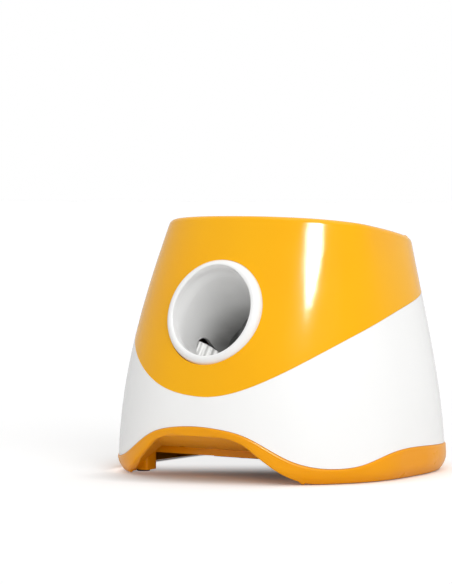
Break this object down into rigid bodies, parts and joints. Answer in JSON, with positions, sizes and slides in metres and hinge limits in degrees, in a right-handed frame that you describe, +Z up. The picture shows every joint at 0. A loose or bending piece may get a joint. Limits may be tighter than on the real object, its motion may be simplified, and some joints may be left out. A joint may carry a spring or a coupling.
{
  "type": "automatic dog ball launcher",
  "caption": "Rounded tabletop ball launcher for dogs: hopper on top, gate, ramp between ribbed flywheels and an inclined muzzle, with controls at the back.",
  "frame": {"origin": "on the floor, below the middle of the object's bounding box", "axes": "+Z up, -Y the way the muzzle throws, +X to the right as seen from the front; left and right in the names are as seen from the front"},
  "size_m": [0.2354, 0.2263, 0.1919],
  "materials": {
    "orange_shell": "glossy amber ABS",
    "white_shell": "glossy white ABS",
    "orange_base": "satin orange ABS",
    "white_trim": "glossy white ABS",
    "grey_plastic": "satin light grey ABS",
    "white_bowl": "glossy white ABS",
    "tyre_rubber": "white ribbed silicone",
    "hub_plastic": "satin white nylon",
    "steel": "ground steel",
    "motor_can": "zinc plated steel",
    "black_plastic": "fine textured black",
    "gate_plastic": "satin white nylon",
    "servo_blue": "translucent blue case",
    "cell_jacket": "printed film jacket, left plain",
    "nickel": "nickel plate",
    "panel_grey": "matte dark grey",
    "button_orange": "satin silicone key",
    "light_pipe": "milky light guide",
    "board_green": "solder mask",
    "foot_rubber": "soft black rubber",
    "zinc_screw": "zinc plated",
    "switch_black": "black moulding"
  },
  "bodies": {
    "body": {"upper_shell": "orange_shell", "lower_shell": "white_shell", "base_tray": "orange_base", "muzzle_bezel": "white_trim", "guide_trough": "grey_plastic", "guide_cover": "grey_plastic", "hopper_bowl": "white_bowl", "left_motor": "motor_can", "right_motor": "motor_can", "left_motor_saddle": "black_plastic", "right_motor_saddle": "black_plastic", "gate_servo": "servo_blue", "ball_sensors": "switch_black", "battery_cells": "cell_jacket", "battery_contacts": "nickel", "battery_door": "orange_base", "control_panel": "panel_grey", "push_switches": "switch_black", "status_lights": "light_pipe", "main_board": "board_green", "buzzer": "switch_black", "dc_socket": "black_plastic", "foot_pads": "foot_rubber", "shell_screws": "zinc_screw", "base_screws": "zinc_screw", "tube_screws": "zinc_screw", "motor_screws": "zinc_screw", "saddle_screws": "zinc_screw", "servo_screws": "zinc_screw", "board_screws": "zinc_screw", "door_screws": "zinc_screw"},
    "left_wheel": {"left_wheel_tyre": "tyre_rubber", "left_wheel_hub": "hub_plastic", "left_wheel_shaft": "steel"},
    "right_wheel": {"right_wheel_tyre": "tyre_rubber", "right_wheel_hub": "hub_plastic", "right_wheel_shaft": "steel"},
    "gate": {"gate_flap": "gate_plastic"},
    "power_key": {"power_button": "button_orange"},
    "distance_key": {"distance_button": "button_orange"}
  },
  "joints": [
    {"name": "right_wheel_spin", "type": "hinge", "parent": "body", "child": "right_wheel", "pos_m": [0.051, -0.0438, 0.0796], "axis": [0, 0.6018, 0.7986], "continuous": true},
    {"name": "left_wheel_spin", "type": "hinge", "parent": "body", "child": "left_wheel", "pos_m": [-0.051, -0.0438, 0.0796], "axis": [0, 0.6018, 0.7986], "continuous": true},
    {"name": "gate_swing", "type": "hinge", "parent": "body", "child": "gate", "pos_m": [0, 0.039, 0.101], "axis": [1, 0, 0], "range_deg": [0, 75]},
    {"name": "power_press", "type": "slide", "parent": "body", "child": "power_key", "axis": [0, -0.9969, -0.0785], "range_m": [0, 0.0012], "stiffness_N_per_m": 400},
    {"name": "distance_press", "type": "slide", "parent": "body", "child": "distance_key", "axis": [0, -0.9969, -0.0785], "range_m": [0, 0.0012], "stiffness_N_per_m": 400}
  ],
  "couplings": [
    {"joint": "left_wheel_spin", "follows": "right_wheel_spin", "ratio": -1}
  ]
}
